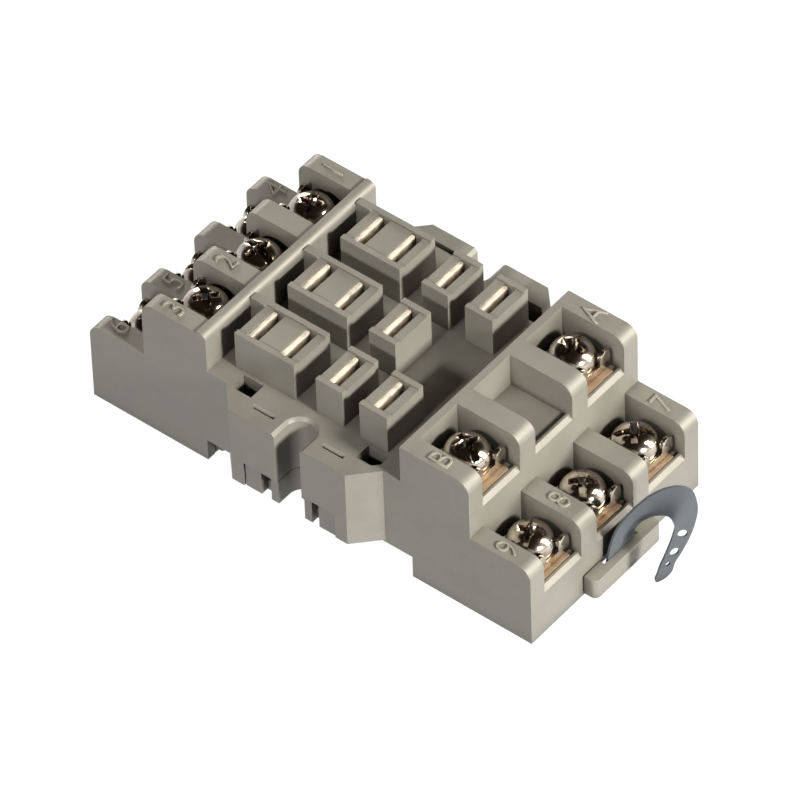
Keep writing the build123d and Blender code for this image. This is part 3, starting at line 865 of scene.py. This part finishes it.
    def build(self) -> None:
        """Set out one screw for each terminal and let it ride on its own body."""
        blank = self.pattern()
        tree = self.thread_tree()
        named = {item.name: item.identifier for item in tree.interface.items_tree if item.in_out == "INPUT"}
        sizes = {"Thread pitch": self.thread_pitch, "Thread radius": self.thread_radius,
                 "Core radius": self.shank_radius, "Thread length": self.shank_length - self.plain_length}
        for key, turn in self.turns.items():
            name = f"terminal_screw_{key}"
            low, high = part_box(f"screw_{key}")
            seat = ((low.x + high.x) / 2, (low.y + high.y) / 2, high.z - (self.head_height + self.head_inset) * MM)
            point = bpy.data.meshes.new(name)
            point.from_pydata([seat], [], [])
            screw = bpy.data.objects.new(name, point)
            bpy.context.collection.objects.link(screw)
            nodes = screw.modifiers.new("screw", "NODES")
            nodes.node_group = tree
            nodes[named["Blank"]] = blank
            for label, size in sizes.items():
                nodes[named[label]] = size * MM
            nodes[named["Turn"]] = radians(turn)
            nodes[named["Finish"]] = self.material
            apply_modifiers(screw)
            finish_piece(screw, self.material, name, "plated_screw", f"screw_{key}")
        bpy.data.objects.remove(blank)


@dataclass
class TerminalFigures:
    """The raised figures on the wall tops: one beside each terminal, read from the latch end.

    Attributes:
        places: the middle of each figure's foot in mm.
        material: the finish of the figures.
        height_mm: the size of the letters.
        rise_mm: how far they stand out, without their rounded edge.
        thin_mm: how much the strokes are thinned on each side.
        edge_mm: the rounding of their edges.
        narrow: their width, as a share of the letters' own.
        curve_steps: lengths in each curved stroke.
    """

    places: dict[str, Point]
    material: bpy.types.Material
    height_mm: float = 5.2
    rise_mm: float = 0.22
    thin_mm: float = 0.12
    edge_mm: float = 0.07
    narrow: float = 0.86
    curve_steps: int = 6

    def build(self) -> bpy.types.Object:
        """Set the figures, lay them on the walls and join them into one piece.

        Returns:
            The finished piece.
        """
        shell = bmesh.new()
        for figure, (x, y, z) in self.places.items():
            words = bpy.data.curves.new(f"figure_{figure}", "FONT")
            words.body = figure
            words.size = self.height_mm * MM
            words.extrude = self.rise_mm * MM
            words.offset = -self.thin_mm * MM
            words.bevel_depth = self.edge_mm * MM
            words.align_x = "CENTER"
            words.align_y = "CENTER"
            words.resolution_u = self.curve_steps
            holder = bpy.data.objects.new(f"figure_{figure}", words)
            bpy.context.collection.objects.link(holder)
            flat = bpy.data.meshes.new_from_object(holder.evaluated_get(bpy.context.evaluated_depsgraph_get()))
            laid = Matrix.Translation(Vector((x, y, z)) * MM) @ Matrix.Rotation(pi / 2, 4, "Z")
            flat.transform(laid @ Matrix.Diagonal((self.narrow, 1, 1, 1)))
            shell.from_mesh(flat)
            bpy.data.objects.remove(holder)
        piece = from_shell(shell, "terminal_figures")
        return finish_piece(piece, self.material, Body.SOCKET.value, "moulded_housing")


@dataclass
class Lamp:
    """A soft box that faces the socket.

    Attributes:
        name: the lamp's name.
        place: where it hangs, in metres.
        aim: the point that it faces, in metres.
        width: its width in metres.
        height: its height in metres.
        watts: its power.
        colour: its hex colour.
        gloss_only: whether it shows in glossy surfaces alone and leaves matt ones as they are.
    """

    name: str
    place: Point
    aim: Point
    width: float
    height: float
    watts: float
    colour: str
    gloss_only: bool = False

    def build(self) -> None:
        """Hang the lamp and turn it to its aim."""
        light = bpy.data.lights.new(self.name, "AREA")
        light.shape = "RECTANGLE"
        light.size = self.width
        light.size_y = self.height
        light.energy = self.watts
        light.color = linear(self.colour)[:3]
        lamp = bpy.data.objects.new(self.name, light)
        lamp.location = self.place
        lamp.rotation_euler = (Vector(self.aim) - Vector(self.place)).to_track_quat("-Z", "Y").to_euler()
        lamp.visible_diffuse = not self.gloss_only
        bpy.context.collection.objects.link(lamp)


@dataclass
class Studio:
    """The plain white table, the soft lamps, the pale room and the camera.

    Attributes:
        azimuth: the camera's bearing in degrees, from -Y towards +X.
        elevation: its height above the horizon in degrees.
        roll: its turn about the line of sight in degrees.
        focal_px: the focal length in pixels.
        image_px: the picture's width in pixels.
        sensor_mm: the sensor's width.
        unit_mm: the length of one unit of aside.
        aside: the camera's shift to the right and up, and its distance, in units.
        origin_mm: the point that aside starts from.
        floor_mm: the height of the table, which is that of the feet.
        table_reach: half of the table's width in metres.
        table_colour: the table's colour as the socket's underside sees it.
        table_glow: how bright the table looks to the camera and in mirrors.
        table_roughness: how matt the table is.
        clip_m: the nearest and the farthest distance that is shown, in metres.
    """

    azimuth: float = 40.161
    elevation: float = 46.248
    roll: float = -2.081
    focal_px: float = 9524.99
    image_px: int = 800
    sensor_mm: float = 36.0
    unit_mm: float = 1.186992
    aside: Point = (11.294, -15.625, 1137.97)
    origin_mm: Point = (-15.36, 0.0, 21.27)
    floor_mm: float = -4.0
    table_reach: float = 3.0
    table_colour: str = "#565D68"
    table_glow: float = 0.965
    table_roughness: float = 0.9
    clip_m: tuple[float, float] = (0.05, 20.0)

    def place_camera(self) -> None:
        """Put the camera at the place that was solved for it."""
        a, e, r = radians(self.azimuth), radians(self.elevation), radians(self.roll)
        back = Vector((sin(a) * cos(e), -cos(a) * cos(e), sin(e)))
        level = Vector((0, 0, 1)).cross(back).normalized()
        upright = back.cross(level)
        right = cos(r) * level + sin(r) * upright
        up = -sin(r) * level + cos(r) * upright
        shift_x, shift_y, distance = self.aside
        spot = self.unit_mm * (shift_x * right + shift_y * up + distance * back) + Vector(self.origin_mm)
        data = bpy.data.cameras.new("camera")
        data.sensor_width = self.sensor_mm
        data.lens = self.focal_px / self.image_px * self.sensor_mm
        data.clip_start, data.clip_end = self.clip_m
        camera = bpy.data.objects.new("camera", data)
        camera.matrix_world = (Matrix.Translation(spot * MM)
                               @ Matrix((right, up, back)).transposed().to_4x4())
        bpy.context.collection.objects.link(camera)
        bpy.context.scene.camera = camera

    def lay_floor(self) -> None:
        """Lay the table, which looks white and throws back little light."""
        material, tree, shader = new_material("white_table")
        shader.inputs["Base Color"].default_value = linear(self.table_colour)
        shader.inputs["Roughness"].default_value = self.table_roughness
        path = add_node(tree, "ShaderNodeLightPath").outputs
        seen = add_math(tree, "MAXIMUM", path["Is Camera Ray"], path["Is Glossy Ray"])
        seen = add_math(tree, "MAXIMUM", seen, path["Is Transmission Ray"])
        shader.inputs["Emission Color"].default_value = linear("#FFFFFF")
        tree.links.new(add_math(tree, "MULTIPLY", seen, self.table_glow), shader.inputs["Emission Strength"])
        mesh = bpy.data.meshes.new("table")
        reach, z = self.table_reach, self.floor_mm * MM
        mesh.from_pydata([(-reach, -reach, z), (reach, -reach, z), (reach, reach, z), (-reach, reach, z)], [],
                         [(0, 1, 2, 3)])
        mesh.materials.append(material)
        floor = bpy.data.objects.new("table", mesh)
        bpy.context.collection.objects.link(floor)

    def fill_room(self) -> None:
        """Light the room evenly, show it white to the camera, and dark overhead to bright metal."""
        world = bpy.data.worlds.new("room")
        bpy.context.scene.world = world
        world.use_nodes = True
        tree = world.node_tree
        tree.nodes.clear()
        path = add_node(tree, "ShaderNodeLightPath").outputs
        way = add_node(tree, "ShaderNodeTexCoord").outputs["Generated"]
        height = add_node(tree, "ShaderNodeSeparateXYZ", {"Vector": way}).outputs["Z"]
        # Bright metal mirrors a pale foot, blue-grey walls and a dark ceiling
        walls = add_ramp(tree, height, (0.30, "#F4F0EA"), (0.46, "#4C5566"), (0.62, "#241B13"))
        soft = add_ramp(tree, height, (0.10, "#1E2228"), (0.90, "#1A1917"))
        fill = add_mix(tree, path["Is Glossy Ray"], soft, walls)
        plain = add_math(tree, "MAXIMUM", path["Is Camera Ray"], path["Is Transmission Ray"])
        shown = add_mix(tree, plain, fill, linear("#FFFFFF"))
        glow = add_node(tree, "ShaderNodeBackground", {"Color": shown, "Strength": 1.0})
        add_node(tree, "ShaderNodeOutputWorld", {"Surface": glow.outputs[0]})

    def build(self) -> None:
        """Set up the room, the lamps and the camera."""
        bpy.context.scene.view_settings.view_transform = "Standard"
        self.lay_floor()
        self.fill_room()
        middle = (0.0, 0.0, 0.008)
        lamps = (
            Lamp("key", place=(0.65, -0.05, 0.32), aim=middle, width=0.12, height=0.12, watts=7.8, colour="#FFFCF4"),
            Lamp("left", place=(0.0, -0.62, 0.43), aim=middle, width=0.08, height=0.08, watts=3.0, colour="#FFFAF6"),
            Lamp("rim", place=(-0.52, 0.48, 0.13), aim=middle, width=0.30, height=0.30, watts=3.6, colour="#FFF6EA"),
            Lamp("edge", place=(0.50, 0.37, 0.33), aim=middle, width=0.16, height=0.60, watts=9.0, colour="#FFF2E0",
                 gloss_only=True),
        )
        for lamp in lamps:
            lamp.build()
        self.place_camera()


def main() -> None:
    """Build the pieces in order, then the studio."""
    logging.basicConfig(level=logging.INFO, format="%(message)s")
    finishes = Finishes()
    socket, latch = Body.SOCKET.value, Body.LATCH.value
    Moulding("housing", "housing_moulding", "moulded_housing", socket, finishes.housing).build()
    Moulding("base_plate", "base_moulding", "moulded_base", socket, finishes.base, 0.10).build()
    Moulding("rail_latch", "latch_moulding", "moulded_latch", latch, finishes.latch, 0.18, 3).build()
    HungStrap(finishes.strap).build()
    # The folded spring gets a mesh of its own
    spring = Moulding("latch_spring", "spring_strip", "spring_steel", socket, finishes.spring, 0.03).build()
    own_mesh(spring)
    for key in SCREW_TURNS:
        Moulding(f"clamp_plate_{key}", f"clamp_{key}", "plated_clamp", f"clamp_{key}", finishes.clamp, 0.14,
                 3).build()
        Moulding(f"contact_strip_{key}", f"contact_{key}", "tinned_strip", socket, finishes.tin, 0.05).build()
    TerminalScrews(SCREW_TURNS, finishes.nickel).build()
    TerminalFigures(FIGURES, finishes.figure_highlight).build()
    Studio().build()


if __name__ == "__main__":
    main()
